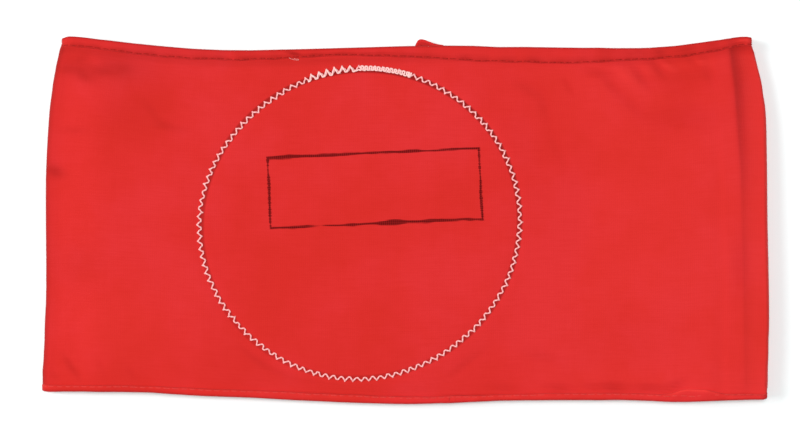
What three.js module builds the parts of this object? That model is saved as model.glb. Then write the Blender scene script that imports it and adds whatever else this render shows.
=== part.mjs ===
// A cloth armband: a loop of plain red cotton, turned inside out and lying flat on its back layer.
// The arm goes in along Y, through the two hemmed mouths. X runs from fold to fold, and +Z is up,
// out of the front layer. The origin is under the middle of the band, on the surface it lies on.
// Millimetres throughout.
import * as THREE from "three";

// Driving sizes
const clothThickness = 1.0; // one wall of the band
const hemThickness = 1.0; // the two plies that the hem lays on top of the wall
const pieceGap = 0.3; // air between pieces that lie on each other
const beadLength = 1.0; // how far the turned edge wraps round the mouth
const turnRadius = 0.3; // softening of the turned edges
const hemRamp = 6.0; // the back wall comes down from the hem over this length
const sideRamp = 18.0; // and the folds come out to the hem's width over this one
const seamRamp = 4.0; // the back wall comes down beside the seam allowance over this length
const mouthBlend = 22.0; // reach of the mouth's own cross-section into the band
const seamPosition = { left: 0.516, right: 0.557 }; // shares of the width, on the back layer
const seamEnd = { topPeak: 52.6, peakShare: 0.2, bottomInset: 0.6 }; // the corner that shows above the hem
const allowanceThickness = 1.0;
const foldSteps = 6;

const halfCloth = clothThickness / 2;
const stack = hemThickness + pieceGap; // how far a piece lying outside lifts the wall

// The outline, seen from above. share runs from the bottom mouth to the top one.
const sideEdges = [
  { share: 0.0, left: -105.7, right: 105.1 },
  { share: 0.08, left: -105.4, right: 105.5 },
  { share: 0.17, left: -105.0, right: 105.7 },
  { share: 0.3, left: -104.6, right: 105.7 },
  { share: 0.5, left: -104.5, right: 105.4 },
  { share: 0.66, left: -104.2, right: 105.2 },
  { share: 0.77, left: -103.6, right: 104.9 },
  { share: 0.84, left: -103.0, right: 104.2 },
  { share: 0.89, left: -102.4, right: 103.2 },
  { share: 0.94, left: -101.3, right: 101.9 },
  { share: 1.0, left: -99.9, right: 100.4 },
];

// share runs from the left fold to the right one. The hem's width is measured down from its edge.
const topEdge = [
  { share: 0.0, y: 53.5, hem: 2.4 },
  { share: 0.03, y: 53.1, hem: 2.4 },
  { share: 0.1, y: 51.5, hem: 2.5 },
  { share: 0.2, y: 49.8, hem: 2.6 },
  { share: 0.28, y: 49.4, hem: 2.6 },
  { share: 0.42, y: 50.0, hem: 2.6 },
  { share: 0.51, y: 50.5, hem: 2.8 },
  { share: 0.58, y: 50.6, hem: 3.4 },
  { share: 0.68, y: 50.2, hem: 3.8 },
  { share: 0.82, y: 50.0, hem: 3.5 },
  { share: 0.89, y: 50.8, hem: 3.0 },
  { share: 0.93, y: 51.8, hem: 2.7 },
  { share: 0.97, y: 53.0, hem: 2.5 },
  { share: 1.0, y: 53.5, hem: 2.4 },
];
const bottomEdge = [
  { share: 0.0, y: -49.9, hem: 1.9 },
  { share: 0.12, y: -50.0, hem: 1.9 },
  { share: 0.2, y: -50.9, hem: 2.1 },
  { share: 0.35, y: -52.2, hem: 2.2 },
  { share: 0.43, y: -53.0, hem: 2.2 },
  { share: 0.52, y: -53.5, hem: 2.2 },
  { share: 0.6, y: -53.0, hem: 2.1 },
  { share: 0.72, y: -52.3, hem: 2.0 },
  { share: 0.82, y: -52.3, hem: 2.0 },
  { share: 0.88, y: -52.9, hem: 2.2 },
  { share: 0.97, y: -52.1, hem: 1.8 },
  { share: 1.0, y: -52.0, hem: 1.7 },
];

// Height of the front layer's outer face, fold to fold, halfway up the band and at its mouths.
// The dip near the right fold is the long groove beside the rounded edge.
const frontHeight = [
  { share: 0.0, middle: 4.2, mouth: 5.5 },
  { share: 0.025, middle: 5.6, mouth: 6.5 },
  { share: 0.055, middle: 7.4, mouth: 7.7 },
  { share: 0.1, middle: 8.2, mouth: 8.0 },
  { share: 0.3, middle: 8.4, mouth: 8.0 },
  { share: 0.5, middle: 8.5, mouth: 8.0 },
  { share: 0.8, middle: 8.3, mouth: 8.0 },
  { share: 0.91, middle: 8.1, mouth: 8.0 },
  { share: 0.95, middle: 7.8, mouth: 7.7 },
  { share: 0.965, middle: 6.9, mouth: 7.1 },
  { share: 0.98, middle: 5.2, mouth: 6.1 },
  { share: 0.99, middle: 5.4, mouth: 6.2 },
  { share: 1.0, middle: 6.0, mouth: 6.5 },
];

// Soft hollows in the front layer. angle is the direction of the long axis, in degrees from +X.
const dents = [
  { x: -84, y: 40, length: 20, width: 8, angle: -8, depth: 0.3 },
  { x: -66, y: 28, length: 16, width: 9, angle: -30, depth: 0.35 },
  { x: -98, y: 12, length: 9, width: 7, angle: 10, depth: 0.3 },
  { x: -92, y: -39, length: 11, width: 5, angle: -55, depth: 0.35 },
  { x: -46, y: -36, length: 24, width: 7, angle: -48, depth: 0.45 },
  { x: 24, y: -37, length: 22, width: 7, angle: 42, depth: 0.45 },
  { x: 55, y: -45, length: 24, width: 6, angle: 4, depth: 0.25 },
  { x: 68, y: 38, length: 18, width: 6, angle: -52, depth: 0.4 },
  { x: 84, y: 36, length: 20, width: 9, angle: -60, depth: 0.45 },
  { x: 40, y: 22, length: 18, width: 8, angle: -70, depth: 0.3 },
  { x: 36, y: -6, length: 26, width: 9, angle: 80, depth: 0.3 },
];

// Columns round the band: shares of the width, in runs of even steps
const frontRuns = [
  { from: 1, to: 0.93, steps: 9 },
  { from: 0.93, to: 0.12, steps: 31 },
  { from: 0.12, to: 0, steps: 6 },
];
const seamReach = 0.0025; // the wall is level this far past the allowance's sides
const seamRampShare = 0.019; // the ramp's length as a share of the width
const backRuns = {
  rightOfSeam: [
    { from: seamPosition.right + seamReach, to: seamPosition.right + seamRampShare, steps: 3 },
    { from: seamPosition.right + seamRampShare, to: 1, steps: 9 },
  ],
  leftOfSeam: [
    { from: 0, to: seamPosition.left - seamRampShare, steps: 11 },
    { from: seamPosition.left - seamRampShare, to: seamPosition.left - seamReach, steps: 3 },
  ],
  overSeam: [{ from: seamPosition.left - seamReach, to: seamPosition.right + seamReach, steps: 3 }],
};

const rowsFromHem = [0.5, 2.6, 6.6, 12]; // distances past the hem's free edge
const middleRows = 11;

// A smooth curve through one column of a table.
function curveThrough(table, column) {
  const places = table.map((row) => row.share);
  const values = table.map((row) => row[column]);
  const interpolant = new THREE.CubicInterpolant(places, values, 1, new Float64Array(1));
  return (share) => interpolant.evaluate(THREE.MathUtils.clamp(share, 0, 1))[0];
}

const leftSide = curveThrough(sideEdges, "left");
const rightSide = curveThrough(sideEdges, "right");
const topY = curveThrough(topEdge, "y");
const topHemWidth = curveThrough(topEdge, "hem");
const bottomY = curveThrough(bottomEdge, "y");
const bottomHemWidth = curveThrough(bottomEdge, "hem");
const middleHeight = curveThrough(frontHeight, "middle");
const mouthHeight = curveThrough(frontHeight, "mouth");

// 1 up to the near distance, 0 past the far one, and an even slope between them.
function fade(distance, near, far) {
  return 1 - THREE.MathUtils.smoothstep(distance, near, far);
}

// How far a point is from each mouth, past its hem. Negative under the hem itself.
function distancePastHem(share, y) {
  const fromTop = topY(share) - y - topHemWidth(share);
  const fromBottom = y - bottomY(share) - bottomHemWidth(share);
  return Math.min(fromTop, fromBottom);
}

function hemLift(share, y) {
  return fade(distancePastHem(share, y), rowsFromHem[0], rowsFromHem[0] + hemRamp);
}

function seamLift(share, width) {
  const outside = Math.max(seamPosition.left - share, share - seamPosition.right) * width;
  return fade(outside, seamReach * width, seamReach * width + seamRamp);
}

function dentDepth(x, y) {
  return dents.reduce((sum, dent) => {
    const turn = THREE.MathUtils.degToRad(dent.angle);
    const alongIt = (x - dent.x) * Math.cos(turn) + (y - dent.y) * Math.sin(turn);
    const acrossIt = (y - dent.y) * Math.cos(turn) - (x - dent.x) * Math.sin(turn);
    const far = (alongIt / (dent.length / 2)) ** 2 + (acrossIt / (dent.width / 2)) ** 2;
    return sum + dent.depth * Math.exp(-far);
  }, 0);
}

// The middle line of the wall, cut across at one height y: the point of one column.
// column is { side, share } on a layer, or { side, share, turn } on a fold, turn from 0 to 1.
function middleOfWall(column, y) {
  const { side, share } = column;
  const rise = (y - bottomY(share)) / (topY(share) - bottomY(share));
  const lifted = stack * hemLift(share, y);
  const drawnIn = stack * fade(distancePastHem(share, y), rowsFromHem[0], sideRamp);
  const outerLeft = leftSide(rise) + drawnIn;
  const outerRight = rightSide(rise) - drawnIn;
  const width = outerRight - outerLeft;
  const nearMouth = fade(distancePastHem(share, y), 0, mouthBlend);
  const frontZ = (at) =>
    THREE.MathUtils.lerp(middleHeight(at), mouthHeight(at), nearMouth) - halfCloth;
  const backZ = halfCloth + lifted;
  const radiusLeft = (frontZ(0) - backZ) / 2;
  const radiusRight = (frontZ(1) - backZ) / 2;
  const leftCentre = outerLeft + halfCloth + radiusLeft;
  const rightCentre = outerRight - halfCloth - radiusRight;
  const x = THREE.MathUtils.lerp(leftCentre, rightCentre, share);
  if (side === "front") return new THREE.Vector2(x, frontZ(share) - dentDepth(x, y));
  if (side === "back") {
    const overSeam = stack * Math.max(hemLift(share, y), seamLift(share, width));
    return new THREE.Vector2(x, halfCloth + overSeam);
  }
  const right = side === "rightFold";
  const radius = right ? radiusRight : radiusLeft;
  const angle = Math.PI * (column.turn - 0.5) + (right ? 0 : Math.PI);
  const centre = new THREE.Vector2(right ? rightCentre : leftCentre, backZ + radius);
  return centre.add(new THREE.Vector2(Math.cos(angle), Math.sin(angle)).multiplyScalar(radius));
}

function columnsOf(runs, side) {
  return runs.flatMap(({ from, to, steps }) =>
    Array.from({ length: steps }, (_, i) => ({
      side,
      share: THREE.MathUtils.lerp(from, to, i / steps),
    })),
  );
}

function foldColumns(side, share) {
  return Array.from({ length: foldSteps }, (_, i) => ({ side, share, turn: i / foldSteps }));
}

// All columns, in order round the band: they start beside the seam and end over it.
const openColumns = [
  ...columnsOf(backRuns.rightOfSeam, "back"),
  ...foldColumns("rightFold", 1),
  ...columnsOf(frontRuns, "front"),
  ...foldColumns("leftFold", 0),
  ...columnsOf(backRuns.leftOfSeam, "back"),
];
const loopColumns = [...openColumns, ...columnsOf(backRuns.overSeam, "back")];

// A point on the wall of one column, moved outwards from the wall's middle by offset.
// The outward direction is square to the middle line between the two neighbouring columns.
function pointOnWall(index, y, offset) {
  const count = loopColumns.length;
  const before = middleOfWall(loopColumns[(index + count - 1) % count], y);
  const after = middleOfWall(loopColumns[(index + 1) % count], y);
  const here = middleOfWall(loopColumns[index], y);
  const along = after.sub(before).normalize();
  return new THREE.Vector3(here.x + along.y * offset, y, here.y - along.x * offset);
}

// A solid from a grid of points: one ring of points for each column, joined column to column.
// A closed grid joins its last ring to its first, and an open one gets a cap at each end.
function solidFromRings(rings, closed) {
  const size = rings[0].length;
  const positions = rings.flat().flatMap((p) => [p.x, p.y, p.z]);
  const faces = [];
  const last = closed ? rings.length : rings.length - 1;
  for (let i = 0; i < last; i += 1) {
    const next = (i + 1) % rings.length;
    for (let j = 0; j < size; j += 1) {
      const k = (j + 1) % size;
      const [a, b, c, d] = [i * size + j, i * size + k, next * size + k, next * size + j];
      faces.push(a, b, c, a, c, d);
    }
  }
  if (!closed) {
    const firstCap = capFaces(rings[0]);
    const lastCap = capFaces(rings.at(-1)).map((corner) => corner + (rings.length - 1) * size);
    faces.push(...turnedRound(firstCap), ...lastCap);
  }
  const geometry = new THREE.BufferGeometry();
  geometry.setAttribute("position", new THREE.Float32BufferAttribute(positions, 3));
  geometry.setIndex(faces);
  geometry.computeVertexNormals();
  return geometry;
}

// Triangles that fill one ring, which stands square to X.
function capFaces(ring) {
  const flat = ring.map((p) => new THREE.Vector2(p.y, p.z));
  const triangles = THREE.ShapeUtils.triangulateShape(flat, []).flat();
  return THREE.ShapeUtils.isClockWise(flat) ? turnedRound(triangles) : triangles;
}

function turnedRound(faces) {
  return faces.map((_, i) => faces[i - (i % 3) + [0, 2, 1][i % 3]]);
}

// The heights of one column's rows, from just inside the bottom hem's bead to the top one's.
function rowHeights(share) {
  const start = bottomY(share);
  const end = topY(share);
  const lower = rowsFromHem.map((d) => start + bottomHemWidth(share) + d);
  const upper = rowsFromHem.map((d) => end - topHemWidth(share) - d).reverse();
  const middle = Array.from({ length: middleRows }, (_, i) =>
    THREE.MathUtils.lerp(lower.at(-1), upper[0], (i + 1) / (middleRows + 1)),
  );
  const reach = beadLength + pieceGap;
  return [start + reach, ...lower, ...middle, ...upper, end - reach];
}

// The band's wall: a tube of cloth, open at both mouths.
function bandGeometry() {
  const rings = loopColumns.map(({ share }, i) => {
    const heights = rowHeights(share);
    const outside = heights.map((y) => pointOnWall(i, y, halfCloth));
    const inside = heights.map((y) => pointOnWall(i, y, -halfCloth)).reverse();
    return [...outside, ...inside];
  });
  return solidFromRings(rings, true);
}

// The hem's outline across its run: in from the mouth's edge, and out from the wall's middle.
// The bead wraps the mouth's edge, and the strip lies on the outside of the wall.
function hemOutline(width) {
  const under = halfCloth + pieceGap;
  const over = under + hemThickness;
  return [
    { inwards: beadLength, outwards: -halfCloth },
    { inwards: turnRadius, outwards: -halfCloth },
    { inwards: 0, outwards: turnRadius - halfCloth },
    { inwards: 0, outwards: over - turnRadius },
    { inwards: turnRadius, outwards: over },
    { inwards: width - turnRadius, outwards: over },
    { inwards: width, outwards: over - turnRadius },
    { inwards: width, outwards: under },
    { inwards: beadLength, outwards: under },
  ];
}

// A hem goes all the way round, from one side of the seam allowance to the other.
function hemGeometry(edgeY, widthAt, upwards) {
  const columns = [...openColumns, loopColumns[openColumns.length]];
  const rings = columns.map(({ share }, i) => {
    const outline = hemOutline(widthAt(share));
    const ring = outline.map(({ inwards, outwards }) =>
      pointOnWall(i, edgeY(share) - upwards * inwards, outwards),
    );
    return upwards > 0 ? ring.reverse() : ring;
  });
  return solidFromRings(rings, false);
}

// The joined ends of the cloth, a flat strip under the back layer. Its top corner stands
// out past the hem.
function seamAllowanceGeometry() {
  const { left, right } = seamPosition;
  const middle = (left + right) / 2;
  const across = (share, y) => middleOfWall({ side: "back", share }, y).x;
  const bottom = bottomY(middle) + seamEnd.bottomInset;
  const top = topY(middle);
  const peakShare = THREE.MathUtils.lerp(left, right, seamEnd.peakShare);
  const outline = new THREE.Shape();
  outline.moveTo(across(left, bottom), bottom);
  outline.lineTo(across(right, bottom), bottom);
  outline.lineTo(across(right, top), top - turnRadius);
  outline.quadraticCurveTo(across(middle, top), top, across(peakShare, top), seamEnd.topPeak);
  outline.lineTo(across(left, top), top);
  outline.closePath();
  return new THREE.ExtrudeGeometry(outline, {
    depth: allowanceThickness,
    bevelEnabled: false,
    curveSegments: 6,
  });
}

function redCotton(shade) {
  return new THREE.MeshStandardMaterial({ color: shade, roughness: 0.9, metalness: 0 });
}

function piece(name, geometry, shade) {
  const mesh = new THREE.Mesh(geometry, redCotton(shade));
  mesh.name = name;
  return mesh;
}

const armband = new THREE.Group();
armband.add(piece("band", bandGeometry(), "#e2302d"));
armband.add(piece("top_hem", hemGeometry(topY, topHemWidth, 1), "#d92b28"));
armband.add(piece("bottom_hem", hemGeometry(bottomY, bottomHemWidth, -1), "#d92b28"));
armband.add(piece("seam_allowance", seamAllowanceGeometry(), "#d02825"));

export default armband;
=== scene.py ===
import math
import random

import bpy
import numpy as np
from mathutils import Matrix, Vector, noise
from mathutils.bvhtree import BVHTree


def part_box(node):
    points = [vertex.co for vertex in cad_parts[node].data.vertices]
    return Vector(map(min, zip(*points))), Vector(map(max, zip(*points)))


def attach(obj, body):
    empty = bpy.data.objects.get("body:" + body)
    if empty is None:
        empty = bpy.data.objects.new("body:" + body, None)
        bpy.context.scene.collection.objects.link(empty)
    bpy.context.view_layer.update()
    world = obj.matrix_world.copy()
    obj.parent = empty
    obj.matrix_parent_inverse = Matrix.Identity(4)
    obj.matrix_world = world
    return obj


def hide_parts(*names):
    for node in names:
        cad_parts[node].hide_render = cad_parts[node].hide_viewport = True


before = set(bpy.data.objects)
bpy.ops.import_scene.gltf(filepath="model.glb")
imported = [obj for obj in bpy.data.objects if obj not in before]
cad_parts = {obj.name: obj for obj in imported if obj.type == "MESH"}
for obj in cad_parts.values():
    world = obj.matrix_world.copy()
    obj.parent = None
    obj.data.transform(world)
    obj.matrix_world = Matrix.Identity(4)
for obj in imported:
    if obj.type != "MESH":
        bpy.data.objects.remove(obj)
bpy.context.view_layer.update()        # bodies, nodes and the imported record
random.seed(11)
mm = 0.001
uvSpan = 0.5  # one UV unit is this many metres of cloth


# Small tools

def pick(piece):
    bpy.ops.object.select_all(action="DESELECT")
    piece.select_set(True)
    bpy.context.view_layer.objects.active = piece


def finishWith(piece, kind, **settings):  # one modifier, set up and applied
    pick(piece)
    modifier = piece.modifiers.new(kind.title(), kind)
    for name, value in settings.items():
        setattr(modifier, name, value)
    bpy.ops.object.modifier_apply(modifier=modifier.name)


def joinPieces(pieces):
    bpy.ops.object.select_all(action="DESELECT")
    for piece in pieces:
        piece.select_set(True)
    bpy.context.view_layer.objects.active = pieces[0]
    bpy.ops.object.join()
    return pieces[0]


def pointsOf(piece):
    values = np.empty(len(piece.data.vertices) * 3, np.float32)
    piece.data.vertices.foreach_get("co", values)
    return values.reshape(-1, 3).astype(float)


def normalsOf(piece):
    values = np.empty(len(piece.data.vertices) * 3, np.float32)
    piece.data.vertices.foreach_get("normal", values)
    return values.reshape(-1, 3).astype(float)


def movePoints(piece, points):
    piece.data.vertices.foreach_set("co", np.asarray(points, np.float32).ravel())
    piece.data.update()


def setUv(piece, around, along):  # one value per vertex, in metres of cloth
    layer = piece.data.uv_layers.get("clothUv") or piece.data.uv_layers.new(name="clothUv")
    corners = np.empty(len(piece.data.loops), np.int32)
    piece.data.loops.foreach_get("vertex_index", corners)
    flat = np.stack([np.asarray(around)[corners], np.asarray(along)[corners]], axis=1) / uvSpan
    layer.uv.foreach_set("vector", flat.astype(np.float32).ravel())


def setMark(piece, name, values):  # one value per vertex, which a material reads
    layer = piece.data.attributes.get(name) or piece.data.attributes.new(name, "FLOAT", "POINT")
    layer.data.foreach_set("value", np.asarray(values, np.float32))


def step(value, low, high):  # 0 below low, 1 above high, smooth between
    share = np.clip((np.asarray(value, float) - low) / (high - low), 0, 1)
    return share * share * (3 - 2 * share)


def curveOf(table):  # a function through a short list of pairs in millimetres
    places, values = np.array(table, float).T * mm
    return lambda at: np.interp(at, places, values)


def runLength(points):  # how far along the line each point is
    points = np.asarray(points, float)
    return np.concatenate([[0], np.cumsum(np.linalg.norm(np.diff(points, axis=0), axis=1))])


def unevenness(x, y, z=0.0):  # smooth noise from -1 to 1
    return noise.noise(Vector((x, y, z)))


def treeOf(*names):
    points, faces = [], []
    for name in names:
        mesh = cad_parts[name].data
        start = len(points)
        points += [vertex.co.copy() for vertex in mesh.vertices]
        faces += [[start + corner for corner in face.vertices] for face in mesh.polygons]
    return BVHTree.FromPolygons(points, faces)


def treeOfPiece(piece):
    return BVHTree.FromObject(piece, bpy.context.evaluated_depsgraph_get())


def hit(tree, start, towards):
    place, normal, _, _ = tree.ray_cast(Vector(start), Vector(towards))
    return place, normal


def fromAbove(tree, x, y):  # the place that a ray straight down meets
    return hit(tree, (x, y, 0.05), (0, 0, -1))[0]


# The armband's outline, measured on the frame

bandTree = treeOf("band")
outlineTree = treeOf("band", "top_hem", "bottom_hem")
probeHeights = np.linspace(0.4, 9.2, 23) * mm
probeRows = np.linspace(-52, 53, 71) * mm
probeColumns = 96
probeFrom = 0.3  # metres, well clear of the armband


def outermost(starts, towards, axis):  # where the first of these rays meets the outline
    found = [hit(outlineTree, start, towards)[0] for start in starts]
    found = [place[axis] for place in found if place is not None]
    return (min if towards[axis] > 0 else max)(found) if found else None


def sideOutline(sign):  # the fold's x at each height
    curve = []
    for y in probeRows:
        x = outermost([(sign * probeFrom, y, z) for z in probeHeights], (-sign, 0, 0), 0)
        if x is not None:
            curve.append((y, x))
    return np.array(curve).T


def mouthOutline(name, sign):  # the mouth's y, only as far as its hem goes
    low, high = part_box(name + "_hem")
    curve = []
    for x in np.linspace(low.x + 1.5 * mm, high.x - 1.5 * mm, probeColumns):
        y = outermost([(x, sign * probeFrom, z) for z in probeHeights], (0, -sign, 0), 1)
        if y is not None:
            curve.append((x, y))
    return np.array(curve).T


sides = {"left": sideOutline(-1), "right": sideOutline(1)}
mouths = {"top": mouthOutline("top", 1), "bottom": mouthOutline("bottom", -1)}


def sideAt(name, y):
    return np.interp(y, *sides[name])


# how far the soft edges lie off the frame's straighter ones, (x, distance up the picture) in mm
mouthDrift = {
    "top": curveOf([
        (-103, -0.5), (-99.5, -0.32), (-98, -0.05), (-96, -0.1), (-89, -0.44), (-74, -0.36),
        (-60, -0.29), (-45, -0.12), (-36, 0.06), (20, 0.04), (27, -0.14), (34, 0.06), (56, 0.08),
        (71, -0.46), (85.6, -0.73), (91.4, -0.78), (97, -0.26), (99.5, -0.24), (101, -0.4), (103, -0.6),
    ]),
    "bottom": curveOf([
        (-103, -0.1), (-99, 0.02), (-94, 0.04), (-88, -0.06), (-74, 0.05), (-60, -0.07), (-45, 0.03),
        (-33, -0.18), (-16, -0.1), (2, 0.04), (9, 0.14), (12.9, 0.05), (20, 0.15), (27, 0.26),
        (42, 0.0), (56, -0.14), (71, 0.13), (85.6, -0.12), (91, -0.22), (97, -0.18), (102, -0.18),
    ]),
}


def mouthAt(name, x):
    return np.interp(x, *mouths[name]) + mouthDrift[name](x)


print("measured the frame's outline")


# The band: one cloth, folded round from the flat cut and closed at the seam

band = {
    "foldReach": 3.0 * mm,  # how far in from each fold the section starts to turn
    "middleHeight": 3.2 * mm,
    "mouthInset": 1.7 * mm,  # the hem's bead covers the rest
    "tuck": 0.3 * mm,  # and the cloth goes this far into it
    "rows": 27,
    "frontSteps": [(1.0, 0.93, 11), (0.93, 0.1, 43), (0.1, 0.0, 7)],
    "foldSteps": 5,
    "backSteps": [(0.0, 1.0, 31)],
    "detail": 2,  # subdivision levels
    "thickness": 0.45 * mm,
    "height": 0.103,
    "underHem": 0.8 * mm,  # the back layer's height off the table at the hems
    "overSeam": 1.15 * mm,  # and over the seam allowance
    "onFrame": 1.3 * mm,  # where the frame's back layer lies there
    "backTop": (1.5 * mm, 5 * mm),  # only the cloth below this comes down
    "hemReach": (2.8 * mm, 9 * mm),  # it rises off the hems over this, in from the mouth
    "seamReach": (1 * mm, 5 * mm),
    "tuckReach": (1.8 * mm, 5 * mm),
    "foldRound": 1.0 * mm,  # the folds bulge at half height and turn in above and below
    "foldMiddle": 3.3 * mm,
    "roundReach": 4 * mm,
    "fullReach": (1 * mm, 9 * mm),  # and the fuller folds fade out over this
}

# how far the soft folds stand out past the frame, (y, distance) in mm
foldFullness = {
    "left": curveOf([
        (-50.4, 1.2), (-49, 1.45), (-47.6, 1.58), (-44, 1.7), (-41, 1.3), (-35, 0.75), (-24, 0.48),
        (0, 0.72), (12, 0.87), (36.6, 0.68), (43.6, 1.1), (45.3, 1.28), (47.1, 1.33), (48.8, 1.42),
        (50.4, 1.3), (51.3, 0.9), (52, 0.7),
    ]),
    "right": curveOf([
        (-52, 1.0), (-50.4, 1.2), (-49, 1.65), (-46.5, 1.6), (-43.6, 1.25), (-40.7, 1.0), (-35, 0.55),
        (-23, 0.5), (0, 0.35), (23, 0.4), (36.6, 0.6), (40.1, 0.95), (43.6, 1.16), (47.1, 1.4),
        (48.8, 1.5), (50.4, 1.15), (51.3, 1.05), (52, 0.95),
    ]),
}


def loopColumns(frontSteps, foldSteps, backSteps):
    # share across the band and the direction that the cloth faces, 90 is up
    columns = []
    for start, end, count in frontSteps:
        columns += [(start + (end - start) * i / count, 90.0) for i in range(count)]
    columns += [(0.0, 90 + 180 * i / foldSteps) for i in range(foldSteps)]
    for start, end, count in backSteps:
        columns += [(start + (end - start) * i / count, 270.0) for i in range(count)]
    columns += [(1.0, 270 + 180 * i / foldSteps) for i in range(foldSteps)]
    return columns


def sectionCentre(share, y):
    left = sideAt("left", y) + band["foldReach"]
    right = sideAt("right", y) - band["foldReach"]
    return left + (right - left) * share


def placeOnBand(share, rise, inset):  # rise runs from the bottom mouth to the top one
    x = sectionCentre(share, 0.0)
    for _ in range(2):
        low = mouthAt("bottom", x) + inset
        high = mouthAt("top", x) - inset
        y = low + (high - low) * rise
        x = sectionCentre(share, y)
    return x, y


def wrapOn(tree, x, y, angle):
    turn = math.radians(angle)
    outwards = Vector((math.cos(turn), 0, math.sin(turn)))
    centre = Vector((x, y, band["middleHeight"]))
    return hit(tree, centre + outwards * 0.05, -outwards)


def fromSeamFirst(columns):  # the run starts over the middle of the seam allowance
    low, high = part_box("seam_allowance")
    span = sectionCentre(1, 0) - sectionCentre(0, 0)
    share = float(((low.x + high.x) / 2 - sectionCentre(0, 0)) / span)
    start = min(range(len(columns)), key=lambda i: abs(columns[i][0] - share) + abs(columns[i][1] - 270))
    return columns[start:] + columns[:start] + [columns[start]]


def makeBand():
    columns = fromSeamFirst(loopColumns(band["frontSteps"], band["foldSteps"], band["backSteps"]))
    across, rows = len(columns) - 1, band["rows"]
    bpy.ops.object.select_all(action="DESELECT")
    bpy.ops.mesh.primitive_grid_add(x_subdivisions=across, y_subdivisions=rows, size=1, location=(0, 0, 0))
    cloth = bpy.context.object
    cloth.name = "band_cloth"
    flat = pointsOf(cloth)
    column = np.rint((flat[:, 0] + 0.5) * across).astype(int)
    row = np.rint((flat[:, 1] + 0.5) * rows).astype(int)
    placed = np.empty_like(flat)
    for i, (c, r) in enumerate(zip(column, row)):
        share, angle = columns[c]
        x, y = placeOnBand(share, r / rows, band["mouthInset"])
        placed[i] = wrapOn(bandTree, x, y, angle)[0]
    movePoints(cloth, placed)
    middle = placed[row == rows // 2][np.argsort(column[row == rows // 2])]
    arc = runLength(middle)
    setUv(cloth, arc[column], row / rows * band["height"])
    pick(cloth)
    bpy.ops.object.mode_set(mode="EDIT")
    bpy.ops.mesh.select_all(action="SELECT")
    bpy.ops.mesh.remove_doubles(threshold=1e-6)
    bpy.ops.mesh.normals_make_consistent(inside=False)
    bpy.ops.object.mode_set(mode="OBJECT")
    finishWith(cloth, "SUBSURF", levels=band["detail"], render_levels=band["detail"])
    return cloth, float(arc[-1])


def settleBand(cloth):  # fuller folds, and a back layer that comes down onto its thin hems
    points = pointsOf(cloth)
    x, y, z = points.T
    toLeft, toRight = x - sideAt("left", y), sideAt("right", y) - x
    x = x - foldFullness["left"](y) * (1 - step(toLeft, *band["fullReach"]))
    x = x + foldFullness["right"](y) * (1 - step(toRight, *band["fullReach"]))
    curl = band["foldRound"] * np.minimum(np.abs(z - band["foldMiddle"]) / band["foldMiddle"], 1) ** 2.2
    reach = band["roundReach"]
    x = x + curl * (1 - step(toLeft, 0, reach)) - curl * (1 - step(toRight, 0, reach))
    toMouth = np.minimum(mouthAt("top", x) - y, y - mouthAt("bottom", x))
    nearHem = 1 - step(toMouth, *band["hemReach"])
    y = y + np.sign(y) * band["tuck"] * (1 - step(toMouth, *band["tuckReach"]))
    low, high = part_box("seam_allowance")
    offSeam = np.maximum(np.maximum(low.x - x, x - high.x), 0)
    overSeam = 1 - step(offSeam, *band["seamReach"])
    frameHeight = band["onFrame"] * np.maximum(nearHem, overSeam)
    wanted = np.maximum(band["underHem"] * nearHem, band["overSeam"] * overSeam)
    z = z - (frameHeight - wanted) * (1 - step(z, *band["backTop"]))
    movePoints(cloth, np.stack([x, y, np.maximum(z, 0)], axis=1))


bandCloth, clothLength = makeBand()
settleBand(bandCloth)
print("band cloth", len(bandCloth.data.vertices), "points,", round(clothLength, 4), "m round")


# The ring of zigzag stitching: where it lies

ring = {
    "centre": (-13.2 * mm, -1.0 * mm),
    "radius": 45.6 * mm,
    "oval": 0.93 * mm,  # long axis up to the right
    "ovalAngle": 19.7,
    "square": 0.23 * mm,
}


def ringRadius(angle):  # angle in radians, anticlockwise from +X
    oval = ring["oval"] * np.cos(2 * (angle - math.radians(ring["ovalAngle"])))
    return ring["radius"] + oval + ring["square"] * np.cos(4 * angle)


# Relief of the front layer: soft folds, the groove, and the pull of the stitching

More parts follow.
